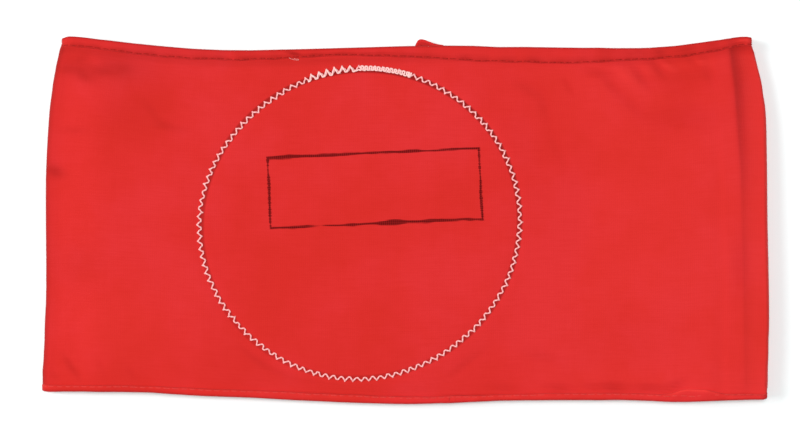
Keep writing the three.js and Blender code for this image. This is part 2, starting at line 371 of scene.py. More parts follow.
relief = {
    "waveSize": 46 * mm,
    "waveHeight": 0.22 * mm,
    "ringPull": 0.20 * mm,  # the stitches draw a shallow furrow
    "ringPullWidth": 1.3 * mm,
    "puckerHeight": 0.13 * mm,
    "puckerSize": 5.5 * mm,
    "puckerOutside": 8 * mm,
    "puckerInside": 5 * mm,
    "puckerRun": 22 * mm,  # a pucker keeps its course over this, away from the ring
    "heldFlat": 1.5 * mm,  # and the stitches hold the cloth flat this far
    "hemWidth": 2.6 * mm,
    "hemPuckerHeight": 0.12 * mm,
    "hemPuckerSize": 6 * mm,
    "hemPuckerReach": 5 * mm,
    "hemPuckerRun": 18 * mm,
    "hemPull": {"top": 0.2 * mm, "bottom": 0.06 * mm},
    "hemPullReach": 2.5 * mm,
    "sag": 1.0 * mm,  # the front sinks towards the back between the folds, at the mouths
    "sagReach": 13 * mm,
    "sagWave": 40 * mm,
    "sagVaries": (0.75, 0.9),  # its least share of that, and how much the wave adds
    "sagFromFolds": (10 * mm, 34 * mm),
    # soft dents and, with a minus, small rises:
    # x, y, half width, half height, turn in degrees and depth, all in mm
    "dents": [
        # top left corner
        (-88, 44.8, 13, 4.2, -6, 0.6), (-97.5, 43.6, 3.6, 1.2, 0, 0.35), (-94, 46.8, 2.6, 1.0, 30, 0.2),
        (-93.5, 41.9, 2.2, 1.2, -45, 0.25), (-87.3, 43, 3.2, 0.9, 0, 0.35),
        (-92, 41.6, 3.6, 1.8, -25, 0.3), (-81.2, 43.6, 2.8, 1.8, 0, 0.25),
        (-89.7, 45.9, 2.4, 1.1, -15, -0.3), (-69, 27.3, 3.3, 1.1, -10, 0.32),
        (-72.8, 31.1, 4, 1.1, -50, 0.15), (-64.1, 25.9, 3, 0.9, 0, 0.12), (-78, 33, 12, 9, 10, 0.15),
        # along the left fold
        (-96, 25.9, 4.2, 1.1, 0, 0.24), (-101.6, 14.0, 2.8, 1.6, -20, 0.75), (-94, -14, 7, 7, 0, 0.22),
        (-97, -35, 3, 8, 0, 0.12), (-96.7, -43, 4.4, 0.9, -54, 0.45), (-101.6, -45.6, 2.2, 0.9, -35, 0.22),
        (-88.2, -42.4, 3, 0.9, -65, 0.13), (-79.2, -44.5, 3, 0.9, -50, 0.16),
        # round the ring
        (-43.7, -40.1, 5, 0.9, -38, 0.26), (-37.9, -43.6, 5, 0.9, -25, 0.2),
        (-32.1, -45.9, 4, 0.9, -10, 0.12),
        (17.3, -42.2, 6, 0.9, 38, 0.22), (36.2, 37.8, 4.2, 1.6, -30, 0.22), (40.6, 32, 4, 1.3, -75, 0.17),
        (44, 20.3, 6, 1.3, -65, 0.1), (47.2, 39, 3, 0.9, -60, 0.13),
        # the slanting folds below the top hem
        (56, 42.7, 3.6, 1.1, -10, 0.34), (60, 39, 3.2, 1.3, -45, 0.24), (65.6, 33.4, 4.2, 1.6, -40, 0.15),
        (64.1, 41.9, 5, 1.3, -45, -0.28), (68.2, 41.9, 3.6, 1.1, -52, 0.32),
        (69.9, 44.2, 2.2, 1.2, -40, -0.14), (73.7, 43.6, 2.8, 1.0, -50, 0.4),
        (75.7, 45.1, 3.2, 0.9, -35, -0.4), (80, 40.5, 12, 5, 0, 0.12), (82.1, 41.6, 8, 1.4, 0, 0.12),
        (83.3, 45.9, 1.6, 0.9, -30, 0.2), (85.9, 45.9, 2.3, 0.9, -20, -0.22),
        (87.9, 42.4, 2.6, 1.6, -50, 0.16), (79.8, 29.7, 12, 4, 0, 0.16), (97.5, -13, 2.5, 8, 0, 0.15),
        # above the bottom hem
        (28.9, -48.8, 3.5, 1.0, 0, 0.28), (45.2, -48.8, 3, 1.0, 0, 0.42), (54.2, -48.5, 2.2, 1.0, 0, 0.22),
        (60.9, -48.7, 3.6, 1.2, 0, 0.62), (71.7, -48.9, 5, 1.0, 0, 0.48), (78.6, -48, 3, 0.9, 30, 0.36),
        (40, -39.8, 4.6, 1.3, -10, 0.16),
        # broad, shallow ones
        (-82, -32, 22, 12, 0, -0.2), (46, 4, 12, 22, 0, 0.08), (65, -34, 20, 10, 0, 0.07),
        (-84, 30, 8, 12, 0, 0.05),
    ],
}
# the long groove beside the right fold: the front steps down there, quickly and then softly
groove = {
    "line": curveOf([
        (-52, 98.9), (-49, 98.7), (-12, 98.2), (0, 97.9), (14.5, 97.5), (39.5, 95.7), (50.3, 94.2),
        (54, 93.8),
    ]),
    "depth": curveOf([(-52, 0.8), (-40, 0.9), (0, 1.2), (20, 1.9), (30, 2.3), (44, 3.2), (54, 2.8)]),
    "steepSide": 0.5 * mm,
    "softSide": 3.0 * mm,
    "level": 9 * mm,  # how far to its left the front is taken as flat
    "fold": 1.2 * mm,  # how far in from the edge the fold's own curve begins
    "atMouths": 0.25,  # share of its depth that the hems leave
    "mouthReach": (1.4 * mm, 3.4 * mm),
}
# painted shade on the front's colour or, with a minus, painted light: how much, and over which stretch it
# comes or goes
paintedLight = {
    "dents": 1600.0,  # painted shade in the dents, per metre of depth
    "rises": 0.35,  # painted light on the small rises, a share of that
    "leftEdge": (1.5, 0.0, 2.4 * mm),  # painted shade, in from the fold's edge
    "leftSide": (0.40, 1.5 * mm, 6 * mm),
    "rightEdge": (-0.7, 0.0, 1.6 * mm),  # worn
    "rightSide": (-0.08, 5 * mm, 8 * mm),
    "rightHalf": (-0.17, 25 * mm, 60 * mm),  # painted light over the right half, which evens out the lamps' fall-off, by x
    "besideHem": {"much": 0.75, "at": 3.6 * mm, "wide": 1.1 * mm},  # painted shade below the top hem, in from the top mouth
    "groove": {"much": 0.45, "at": 0.8 * mm, "wide": 1.5 * mm, "from": 0.0, "to": 40 * mm},  # painted shade along the groove's deep end
}


def dentAt(x, y):  # how far the soft dents go down here
    total = 0.0
    for dentX, dentY, wide, high, turned, depth in relief["dents"]:
        across, up = x / mm - dentX, y / mm - dentY
        cos, sin = math.cos(math.radians(turned)), math.sin(math.radians(turned))
        off = ((across * cos + up * sin) / wide) ** 2 + ((up * cos - across * sin) / high) ** 2
        total += depth * mm * math.exp(-min(off, 50))
    return total


def frontRelief(x, y):  # the last number given to unevenness picks a stretch of the noise
    dx, dy = x - ring["centre"][0], y - ring["centre"][1]
    angle = math.atan2(dy, dx)
    offRing = math.hypot(dx, dy) - float(ringRadius(angle))
    height = relief["waveHeight"] * unevenness(x / relief["waveSize"], y / relief["waveSize"], 3.7)
    height -= relief["ringPull"] * math.exp(-((offRing / relief["ringPullWidth"]) ** 2))
    reach = relief["puckerOutside"] if offRing > 0 else relief["puckerInside"]
    turn = ring["radius"] / relief["puckerSize"]
    ripple = unevenness(math.cos(angle) * turn, math.sin(angle) * turn, offRing / relief["puckerRun"])
    ripple *= math.exp(-abs(offRing) / reach) * min(1, abs(offRing) / relief["heldFlat"])
    height += relief["puckerHeight"] * ripple
    for name, sign in (("top", 1), ("bottom", -1)):
        toMouth = sign * (float(mouthAt(name, x)) - y) - relief["hemWidth"]
        inFromFolds = min(x - float(sideAt("left", y)), float(sideAt("right", y)) - x)
        least, varies = relief["sagVaries"]
        wave = least + varies * unevenness(x / relief["sagWave"], 3.0 * sign)
        sag = relief["sag"] * wave * math.exp(-((max(toMouth, 0) / relief["sagReach"]) ** 2))
        height -= sag * float(step(inFromFolds, *relief["sagFromFolds"]))
        if toMouth < 4 * relief["hemPuckerReach"]:
            near = math.exp(-max(toMouth, 0) / relief["hemPuckerReach"])
            hemRipple = unevenness(x / relief["hemPuckerSize"], toMouth / relief["hemPuckerRun"], 9.0 + sign)
            height += relief["hemPuckerHeight"] * hemRipple * near
            height -= relief["hemPull"][name] * math.exp(-((toMouth / relief["hemPullReach"]) ** 2))
    return height - dentAt(x, y)


def grooveDrop(past):  # share of the step down, past its line
    steep, soft = groove["steepSide"], groove["softSide"]
    if past < 0:
        return steep * math.exp(past / steep) / (steep + soft)
    return (steep + soft * (1 - math.exp(-past / soft))) / (steep + soft)


def nearMouths(x, y):  # 1 under the hems, 0 off them
    toMouth = min(float(mouthAt("top", x)) - y, y - float(mouthAt("bottom", x)))
    return 1 - float(step(toMouth, *groove["mouthReach"]))


def besideGroove(plain, x, y, z):  # how far a point by the groove goes down
    line = float(groove["line"](y))
    if x <= line - groove["level"]:
        return 0.0
    levelX = line - groove["level"]
    inset = band["mouthInset"] + 0.5 * mm
    levelY = np.clip(y, mouthAt("bottom", levelX) + inset, mouthAt("top", levelX) - inset)
    level = fromAbove(plain, levelX, levelY)
    depth = float(groove["depth"](y)) * (1 - (1 - groove["atMouths"]) * nearMouths(x, y))
    toEdge = float(sideAt("right", y)) + float(foldFullness["right"](y)) - x
    share = float(step(x - line, -groove["level"], -0.5 * groove["level"]))
    share *= float(step(toEdge, 0, groove["fold"]))
    return (level.z - depth * grooveDrop(x - line) - z) * share


def shapeFront(cloth):
    points = pointsOf(cloth)
    upFacing = step(normalsOf(cloth)[:, 2], 0.05, 0.5)
    plain = treeOfPiece(cloth)
    for i in np.flatnonzero(upFacing > 0):
        x, y, z = points[i]
        points[i, 2] += upFacing[i] * (frontRelief(x, y) + besideGroove(plain, x, y, z))
    movePoints(cloth, points)
    return upFacing


def fadingOut(value, much, start, end):  # all of it at the start, none past the end
    return much * (1 - step(value, start, end))


def hump(value, at, wide):  # 1 at one place, less on both sides of it
    return np.exp(-(((value - at) / wide) ** 2))


# painted shade and painted light on the front layer's colour, kept in a point attribute that its material
# reads
def markFront(cloth, upFacing):
    points = pointsOf(cloth)
    x, y, _ = points.T
    dented = np.array([dentAt(*point[:2]) if up > 0 else 0.0 for point, up in zip(points, upFacing)])
    marks = paintedLight["dents"] * np.where(dented < 0, paintedLight["rises"] * dented, dented)
    inFromLeft = x - sideAt("left", y) + foldFullness["left"](y)
    inFromRight = sideAt("right", y) + foldFullness["right"](y) - x
    marks += fadingOut(inFromLeft, *paintedLight["leftEdge"]) + fadingOut(inFromLeft, *paintedLight["leftSide"])
    marks += fadingOut(inFromRight, *paintedLight["rightEdge"]) + fadingOut(inFromRight, *paintedLight["rightSide"])
    paler, palerFrom, palerTo = paintedLight["rightHalf"]
    marks += paler * step(x, palerFrom, palerTo)
    hemSide, deep = paintedLight["besideHem"], paintedLight["groove"]
    marks += hemSide["much"] * hump(mouthAt("top", x) - y, hemSide["at"], hemSide["wide"]) * upFacing
    atGroove = hump(x - groove["line"](y), deep["at"], deep["wide"]) * upFacing
    marks += deep["much"] * atGroove * step(y, deep["from"], deep["to"])
    setMark(cloth, "lightAndShade", marks)


markFront(bandCloth, shapeFront(bandCloth))
clothTree = treeOfPiece(bandCloth)
finishWith(bandCloth, "SOLIDIFY", thickness=band["thickness"], offset=-1, use_rim=True)
pick(bandCloth)
bpy.ops.object.shade_smooth()
print("shaped the front layer")


# Pieces swept along a line: a grid whose columns are placed one after the other

def sweptPiece(name, rings, around, along, lightAndShade=None):  # rings: stations by section points by 3
    count, size = rings.shape[:2]
    bpy.ops.object.select_all(action="DESELECT")
    bpy.ops.mesh.primitive_grid_add(x_subdivisions=count - 1, y_subdivisions=size, size=1, location=(0, 0, 0))
    piece = bpy.context.object
    piece.name = name
    flat = pointsOf(piece)
    station = np.rint((flat[:, 0] + 0.5) * (count - 1)).astype(int)
    corner = np.rint((flat[:, 1] + 0.5) * size).astype(int)
    movePoints(piece, rings[station, corner % size])
    setUv(piece, np.asarray(around)[station, corner], np.asarray(along)[station, corner])
    if lightAndShade is not None:
        setMark(piece, "lightAndShade", np.asarray(lightAndShade)[station, corner % size])
    bpy.ops.object.mode_set(mode="EDIT")
    bpy.ops.mesh.select_all(action="SELECT")
    bpy.ops.mesh.remove_doubles(threshold=1e-7)
    bpy.ops.mesh.fill_holes(sides=0)
    bpy.ops.mesh.select_all(action="SELECT")
    bpy.ops.mesh.normals_make_consistent(inside=False)
    bpy.ops.object.mode_set(mode="OBJECT")
    bpy.ops.object.shade_smooth()
    return piece


def smoothPath(points, perSpan):  # a soft curve through the points
    points = np.asarray(points, float)
    a = np.vstack([2 * points[0] - points[1], points[:-2]])[:, None, :]
    b, c = points[:-1][:, None, :], points[1:][:, None, :]
    d = np.vstack([points[2:], 2 * points[-1] - points[-2]])[:, None, :]
    t = (np.arange(perSpan) / perSpan)[None, :, None]
    curve = 2 * b + (c - a) * t + (2 * a - 5 * b + 4 * c - d) * t**2 + (3 * b - a - 3 * c + d) * t**3
    return np.vstack([curve.reshape(-1, 3) / 2, points[-1]])


def threadAlong(name, path, radius, sidesOfThread=8):
    path = np.asarray(path, float)
    heading = np.gradient(path, axis=0)
    heading /= np.linalg.norm(heading, axis=1)[:, None]
    side = np.cross(heading[0], (0, 0, 1.0))
    across = []
    for direction in heading:  # the section is carried along without twisting
        side = side - direction * np.dot(side, direction)
        side /= np.linalg.norm(side)
        across.append(side)
    across = np.array(across)
    up = np.cross(heading, across)
    turn = np.linspace(0, 2 * math.pi, sidesOfThread, endpoint=False)
    width, height = np.cos(turn)[None, :, None], np.sin(turn)[None, :, None]
    rings = path[:, None] + radius * (across[:, None] * width + up[:, None] * height)
    around = np.repeat(runLength(path)[:, None], sidesOfThread + 1, axis=1)
    along = np.repeat(np.linspace(0, uvSpan, sidesOfThread + 1)[None, :], len(path), axis=0)
    return sweptPiece(name, rings, around, along)


# Hems: the cloth's edge turned over twice and laid on the face, with a bead round the mouth

hem = {
    "height": 0.62 * mm,
    "atFolds": 0.18 * mm,  # drawn thin where it goes round the folds
    "overSeam": 0.26 * mm,  # pressed flat between the back layer and the seam allowance
    "seamReach": 3 * mm,
    "bead": 1.7 * mm,
    "stitchFromEdge": 0.42 * mm,  # the stitch line, in from the free edge
    "stitchLength": 2.4 * mm,
    "uneven": 0.2 * mm,  # its holes along the line
    "drift": 0.06 * mm,  # and its stitches across it
    # a stitch from hole to hole: share of its length, and mm over the hem
    "stitch": [(0.0, -0.20), (0.14, 0.0), (0.34, 0.09), (0.62, 0.09), (0.86, 0.0)],
    "threadRadius": 0.12 * mm,
    "dip": {"top": 0.5, "bottom": 0.86},  # how far down the stitches draw the strip, share of its height
    "sunk": {"top": 0.0, "bottom": 0.10 * mm},  # and how deep they lie in it
    "rippleSize": 2.6 * mm,  # the strip ropes as it is sewn
    "ripple": 0.30,
    "slant": 1.1,
    "lumpSize": 9 * mm,
    "lump": 0.28,
    "swaySize": 7 * mm,
    "sway": 0.09,
    "corner": 0.3 * mm,  # the mouth's corners are rounded by this at the folds
    "frontSteps": [(1.0, 0.0, 300)],
    "foldSteps": 14,
    "backSteps": [(0.0, 1.0, 200)],
}
# painted shade on the hems' cloth or, with a minus, painted light
hemPaintedLight = {
    "strip": curveOf([
        (-105, 350), (-70, 500), (-45, 450), (-38, 350), (-20, 100), (50, 100), (62, 700), (88, 800),
        (95, 200), (99, -600), (105, -900),
    ]),
    "patchSize": 4 * mm,
    "patches": (0.65, 0.8),  # its least share of the mark, and how much the noise adds
    "darkest": 2.0,
    "secondLine": {"much": 0.55, "at": 78 * mm, "wide": 13 * mm},  # a second line of painted shade across the strip
    "litCorner": {"share": 0.6, "much": 0.5, "from": 93 * mm, "to": 100 * mm},  # turned to the light
    "lip": 0.22,  # the bottom hem's free edge catches the light
    "lipReach": (1.5 * mm, 0.8 * mm),  # in from it
    "slackLip": 1.3,  # most of all where it is slack
    "slackReach": (0.6 * mm, 0.15 * mm),
    "mouth": {"top": 1.6, "bottom": 0.95},  # painted shade on the turned edge itself
    "mouthReach": 0.85 * mm,
    "widerShadeEdge": (60 * mm, 75 * mm),  # the painted shade reaches twice as far in at the bottom, to the left of this
}
# a small slanting pleat in the top hem: x, how far in it lies, and its slope
nick = {
    "x": -32.3 * mm,
    "width": 1.9 * mm,
    "depth": 0.35,
    "inwards": 1.25 * mm,
    "slope": 0.22,
    "high": 0.4 * mm,
    # how dark the painted shade in its crease is
    "mark": 2.6,
}
# the bottom hem's turned edge isn't caught by the stitches near the groove: extra width, mm
slackHem = curveOf([
    (74, 0), (77.5, 0.4), (80, 1.2), (82, 1.6), (86.8, 1.3), (89.7, 0.5), (92, 0), (95, -0.4),
])
fullSlack = 1.6 * mm
# the top hem is sewn unevenly, (x, extra width) in mm
unevenHem = curveOf([
    (-103, 0.4), (-91.7, 0.87), (-77, 1.0), (-60, 0.73), (-39, 0.3), (-28, -0.2), (-19, -0.4),
    (-5, 0.3), (13, 0.87), (45, 0.87), (60, 0.45), (68, 0.44), (76, 1.0), (80, 1.3), (91, 1.3),
    (95, 0.8), (98, 0.44),
])


def hemSection(width, high, dip, strip, second):
    return [  # in from the mouth's edge, out from the wall's face, how dark the painted shade is
        (hem["bead"], -0.48 * mm, 0),
        (0.5 * mm, -0.48 * mm, 0),
        (0.14 * mm, -0.32 * mm, 0),
        (0.0, -0.02 * mm, 0),
        (0.06 * mm, 0.55 * high, 0),
        (0.28 * mm, 0.88 * high, 0),
        (min(0.7 * mm, 0.32 * width), high, strip),
        (width * 0.45, high, strip + second),
        (max(width - 1.3 * mm, 0.55 * width), high * 0.98, 0.75),
        (max(width - 0.8 * mm, 0.68 * width), high * (0.4 + 0.55 * dip), 1.25),
        (max(width - hem["stitchFromEdge"], 0.82 * width), high * dip, 1.5),
        (width - 0.2 * mm, high * (dip + 0.04), 1.5),
        (width - 0.04 * mm, high * 0.36, 1.4),
        (width, high * 0.1, 1.2),
        (width - 0.06 * mm, -0.04 * mm, 0),
        (min(width - 0.1 * mm, max(0.6 * width, 2.0 * mm)), -0.06 * mm, 0),
        (min(width - 0.15 * mm, hem["bead"] + 0.15 * mm), -0.06 * mm, 0),
    ]


def hemWidths(side, upwards):  # measured on the frame's hem, over the front layer
    tree = treeOf(side + "_hem")
    widths = []
    for x in mouths[side][0]:
        top = fromAbove(tree, x, mouthAt(side, x) - upwards * 1.0 * mm)
        free, _ = hit(tree, (x, 0, top.z - 0.4 * mm), (0, upwards, 0))
        widths.append(abs(mouthAt(side, x) - free.y))
    return np.array(widths)


def hemWalls(side, upwards):  # the cloth's face along the mouth, and the way that it faces
    columns = fromSeamFirst(loopColumns(hem["frontSteps"], hem["foldSteps"], hem["backSteps"]))
    walls, facings = [], []
    for share, angle in columns:
        x, y = placeOnBand(share, 1.0 if upwards > 0 else 0.0, band["mouthInset"] + band["tuck"])
        place, facing = wrapOn(clothTree, x, y, angle)
        walls.append(place)
        facings.append(facing)
    facing = np.array(facings)
    facing[:, 1] = 0
    return np.array(walls), facing / np.linalg.norm(facing, axis=1)[:, None]


def topMark(x, mark, patchy):  # painted shade on the top hem, and painted light on its last stretch, which turns to the light
    lit = hemPaintedLight["litCorner"]
    mark = min(hemPaintedLight["darkest"], mark * patchy)
    return mark - (lit["share"] * mark + lit["much"]) * float(step(x, lit["from"], lit["to"]))


def bottomMark(x, inwards, width, patchy):  # its free edge catches the light
    inner, outer = hemPaintedLight["lipReach"]
    mark = hemPaintedLight["lip"] * patchy * float(step(inwards, width - inner, width - outer))
    inner, outer = hemPaintedLight["slackReach"]
    slack = hemPaintedLight["slackLip"] * float(slackHem(x)) / fullSlack
    return -mark - slack * float(step(inwards, width - inner, width - outer))


def edgeMark(side, x, inwards):  # painted shade round the mouth
    reach = hemPaintedLight["mouthReach"]
    if side == "bottom":
        reach *= 1 + float(step(-x, *hemPaintedLight["widerShadeEdge"]))
    return hemPaintedLight["mouth"][side] * (1 - float(step(inwards, 0, reach)))


# painted shade in the pleat's crease
def nickMark(x, inwards, width):
    off = inwards - nick["inwards"] - nick["slope"] * (x - nick["x"])
    return nick["mark"] * float(hump(off, 0, nick["high"])) * (0 < inwards < width)


def makeHem(side, upwards):
    widths = hemWidths(side, upwards)
    low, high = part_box("seam_allowance")
    wall, facing = hemWalls(side, upwards)
    edge = mouthAt(side, wall[:, 0])
    along = runLength(wall * (1, 0, 1))
    dip = hem["dip"][side]
    patchLeast, patchVaries = hemPaintedLight["patches"]
    second = hemPaintedLight["secondLine"]
    rings, around, flat, line, lightAndShade = [], [], [], [], []
    for i, (point, out) in enumerate(zip(wall, facing)):
        x = point[0]
        width = float(np.interp(x, mouths[side][0], widths))
        height = hem["height"] + (hem["atFolds"] - hem["height"]) * out[0] ** 2
        crush, front = 0.0, float(step(out[2], 0.3, 0.9))  # front is 1 on the visible layer
        if out[2] < -0.5:
            offSeam = max(low.x - x, x - high.x, 0)
            height += (hem["overSeam"] - height) * (1 - float(step(offSeam, 0, hem["seamReach"])))
        elif side == "bottom":
            width += float(slackHem(x)) * front
        else:
            width += float(unevenHem(x)) * front
            crush = front * float(hump(x, nick["x"], nick["width"]))
            height *= 1 - nick["depth"] * crush
        edge[i] -= upwards * hem["corner"] * out[0] ** 2
        width *= 1 + hem["sway"] * front * unevenness(along[i] / hem["swaySize"], 4.0 * upwards)
        lump = 1 + hem["lump"] * front * unevenness(along[i] / hem["lumpSize"], 11.0 * upwards)
        patchy = patchLeast + patchVaries * unevenness(along[i] / hemPaintedLight["patchSize"], 21.0 * upwards)
        strip = float(hemPaintedLight["strip"](x))
        secondShade = second["much"] * float(hump(x, second["at"], second["wide"]))
        section, marks = [], []
        for inwards, outwards, mark in hemSection(width, height * lump, dip, strip, secondShade):
            if outwards > 0:  # the ripples run at a slant
                rope = unevenness((along[i] + hem["slant"] * inwards) / hem["rippleSize"], 7.0 * upwards)
                outwards *= 1 + hem["ripple"] * rope * (0.35 + 0.65 * front)
            place = point * (1, 0, 1) + out * outwards + np.array([0, edge[i] - upwards * inwards, 0])
            section.append((place[0], place[1], max(place[2], 0.01 * mm)))
            if side == "top":
                mark = topMark(x, mark, patchy)
            else:
                mark = bottomMark(x, inwards, width, patchy)
            marks.append(mark * front + edgeMark(side, x, inwards) + crush * nickMark(x, inwards, width))
        rings.append(section)
        lightAndShade.append(marks)
        around.append(np.full(len(section) + 1, along[i]))
        flat.append(runLength(section + section[:1]))
        inwards = width - hem["stitchFromEdge"]
        if side == "bottom" and front > 0:  # sewn straight on, past the slack
            inwards -= float(slackHem(x)) * front
        level = dip if inwards > width - 0.6 * mm else 0.95
        line.append(point * (1, 0, 1) + out * height * level + np.array([0, edge[i] - upwards * inwards, 0]))
    piece = sweptPiece(side + "_hem_cloth", np.array(rings), around, flat, lightAndShade)
    return piece, np.array(line), facing


def makeHemStitches(name, line, facing, sunk):
    along = runLength(line)
    holes = np.linspace(0.5 * mm, along[-1] - 0.5 * mm, int(along[-1] / hem["stitchLength"]))
    holes[1:-1] += [random.uniform(-1, 1) * hem["uneven"] for _ in holes[1:-1]]
    path = []
    for first, last in zip(holes[:-1], holes[1:]):
        drift = random.uniform(-1, 1) * hem["drift"]
        for share, lift in hem["stitch"]:
            at = first + (last - first) * share
            point = np.array([np.interp(at, along, line[:, k]) for k in range(3)])
            out = np.array([np.interp(at, along, facing[:, k]) for k in range(3)])
            place = point + out * (lift * mm - sunk) + np.array([0, drift, 0])
            path.append((place[0], place[1], max(place[2], hem["threadRadius"] + 0.02 * mm)))
    return threadAlong(name, smoothPath(path, 2), hem["threadRadius"], 6)


hemPieces = {}
for side, upwards in (("top", 1), ("bottom", -1)):
    hemPieces[side], line, facing = makeHem(side, upwards)
    hemPieces[side + "Stitches"] = makeHemStitches(side + "_hem_stitching", line, facing, hem["sunk"][side])
print("hems and their stitching")


# The zigzag ring: one thread that runs once round and then on over its own start

zigzag = {
    "periods": 124,
    "inner": 0.62 * mm,  # the turns, in and out from the ring's line
    "outer": 0.40 * mm,
    "threadRadius": 0.232 * mm,
    "lift": 0.20 * mm,
    "spike": (0.10 * mm, 0.42 * mm),  # where the under thread pulls an outer turn to its hole
    "pointed": {"inner": 0.14, "outer": 0.85},  # share of the turns that are drawn to a point
    "pointHalf": 0.09 * mm,
    "holeDepth": 0.12 * mm,
    "roundTurn": (-0.36, -0.16, 0.16, 0.36),  # mm to the sides of a round one's middle
    "rise": {"point": 0.8, "turn": 0.75, "leg": 1.25},  # share of the lift along a zigzag
    "jitter": 0.09 * mm,
    "uneven": 0.12,
    "start": 71.5,  # degrees
    # sewn over the first round: closely at first, and then nearly in step with it
    "dense": {"to": 90.0, "pitch": 1.15 * mm, "inner": 0.64 * mm, "outer": 0.576 * mm, "lift": 0.42 * mm},
    "doubled": {"to": 109.0, "offStep": 0.42, "inner": 0.88 * mm, "outer": 0.748 * mm, "lift": 0.38 * mm},
    # drawn from side to side over one place, like a star
    "knot": {
        "strands": 7,
        "turn": 154,
        "from": 20,
        "size": (0.55 * mm, 0.80 * mm),
        "lift": 0.25 * mm,
        "rise": 0.05 * mm,
    },
    "whiter": 0.42,  # how far the doubled thread goes to its own, whiter colour
    # where the sewing strays off the even ring, (degrees, mm outwards)
    "stray": [
        (-40, 0.25), (0, -0.12), (40, 0.15), (90, 0.0), (131, -0.42), (175, 0.2), (225, -0.12),
        (275, 0.2), (320, 0.25),
    ],
}


def strayAt(angle):
    places, values = zip(*zigzag["stray"])
    return float(np.interp((math.degrees(angle) - places[0]) % 360 + places[0], places, values)) * mm


def ringPoint(angle, outwards, sideways, lift):  # a place on the cloth, angle in radians
    radius = float(ringRadius(angle)) + strayAt(angle) + outwards
    turned = angle + sideways / radius
    x = ring["centre"][0] + radius * math.cos(turned)
    y = ring["centre"][1] + radius * math.sin(turned)
    return (x, y, fromAbove(clothTree, x, y).z + lift)


def zigzagPath(startAngle, endAngle, periods, inner, outer, lift, pointed=None):
    path = []
    rise, hole = zigzag["rise"], -zigzag["holeDepth"]
    stepAngle = (endAngle - startAngle) / (2 * periods)
    for k in range(2 * periods + 1):
        angle = math.radians(startAngle + stepAngle * k)
        turnName, outwards, reach = ("inner", -1, inner) if k % 2 == 0 else ("outer", 1, outer)
        reach *= 1 + zigzag["uneven"] * unevenness(k * 0.23, 2.1)
        reach += random.uniform(-1, 1) * zigzag["jitter"]
        shift = random.uniform(-1, 1) * zigzag["jitter"]
        if pointed and random.random() < pointed[turnName]:  # drawn to a point, into its hole
            spike, half = random.uniform(*zigzag["spike"]), zigzag["pointHalf"]
            path.append(ringPoint(angle, outwards * reach, shift - half, lift * rise["point"]))
            path.append(ringPoint(angle, outwards * (reach + spike), shift, hole))
            path.append(ringPoint(angle, outwards * reach, shift + half, lift * rise["point"]))
        else:  # a round turn that lies on the cloth
            for side in zigzag["roundTurn"]:
                turn = outwards * (reach - abs(side) * 0.5 * mm)
                path.append(ringPoint(angle, turn, side * mm + shift, lift * rise["turn"]))
        if k < 2 * periods:  # the leg's middle stands a little proud
            halfway = angle + math.radians(stepAngle / 2)
            path.append(ringPoint(halfway, (outer - inner) / 2, shift, lift * rise["leg"]))
    return path


def makeRing():
    start, dense, doubled, knot = (zigzag[name] for name in ("start", "dense", "doubled", "knot"))
    pointed, periods = zigzag["pointed"], zigzag["periods"]
    inner, outer, lift = zigzag["inner"], zigzag["outer"], zigzag["lift"]
    firstRound = zigzagPath(start, start + 360, periods, inner, outer, lift, pointed)
    count = int(math.radians(dense["to"] - start) * ring["radius"] / dense["pitch"])
    over = zigzagPath(start, dense["to"], count, dense["inner"], dense["outer"], dense["lift"])
    period = 360 / periods
    first = start + math.ceil((dense["to"] - start) / period) * period + doubled["offStep"]
    count = round((doubled["to"] - first) / period)
    end = first + count * period
    over += zigzagPath(first, end, count, doubled["inner"], doubled["outer"], doubled["lift"], pointed)
    star = []
    for i in range(knot["strands"]):
        turn, size = math.radians(i * knot["turn"] + knot["from"]), random.uniform(*knot["size"])
        out, sideways = size * math.sin(turn), size * math.cos(turn)
        star.append(ringPoint(math.radians(start), out, sideways, knot["lift"] + knot["rise"] * i))
    pieces = [
        threadAlong("zigzag_ring", smoothPath(firstRound, 3), zigzag["threadRadius"], 7),
        threadAlong("zigzag_overlap", smoothPath(over, 3), zigzag["threadRadius"] * 1.05, 7),
        threadAlong("zigzag_knot", smoothPath(star, 4), zigzag["threadRadius"] * 0.9, 7),
    ]
    for piece, whiter in zip(pieces, (0, zigzag["whiter"], zigzag["whiter"])):
        setMark(piece, "doubled", np.full(len(piece.data.vertices), whiter))
    return joinPieces(pieces)


ringPiece = makeRing()
print("zigzag ring", len(ringPiece.data.polygons), "faces")


# Loose fibres of the sewing thread, left at the pleat in the top hem

fibres = {
    "radius": 0.07 * mm,
    # each runs through these places: x, y and the height over what it lies on, mm
    "runs": [
        [
            (-33.8, 47.1, 0.06), (-33.2, 46.8, 0.2), (-32.5, 46.6, 0.22), (-31.8, 46.45, 0.2),
            (-31.0, 46.4, 0.06),
        ],
        [(-32.4, 46.9, 0.06), (-31.9, 46.75, 0.2), (-31.3, 46.7, 0.2), (-30.9, 46.5, 0.06)],
    ],
}


def makeFibres():
    pieces = []
    trees = [clothTree, treeOfPiece(hemPieces["top"])]
    for i, run in enumerate(fibres["runs"]):
        path = []
        for x, y, lift in run:
            places = [fromAbove(tree, x * mm, y * mm) for tree in trees]
            highest = max(place.z for place in places if place is not None)
            path.append((x * mm, y * mm, highest + lift * mm))
        pieces.append(threadAlong("loose_fibre_%d" % i, smoothPath(path, 5), fibres["radius"], 6))
    return joinPieces(pieces)


fibrePiece = makeFibres()
print("loose fibres")


# The seam allowance under the back layer: two plies, and a corner that shows past the top hem

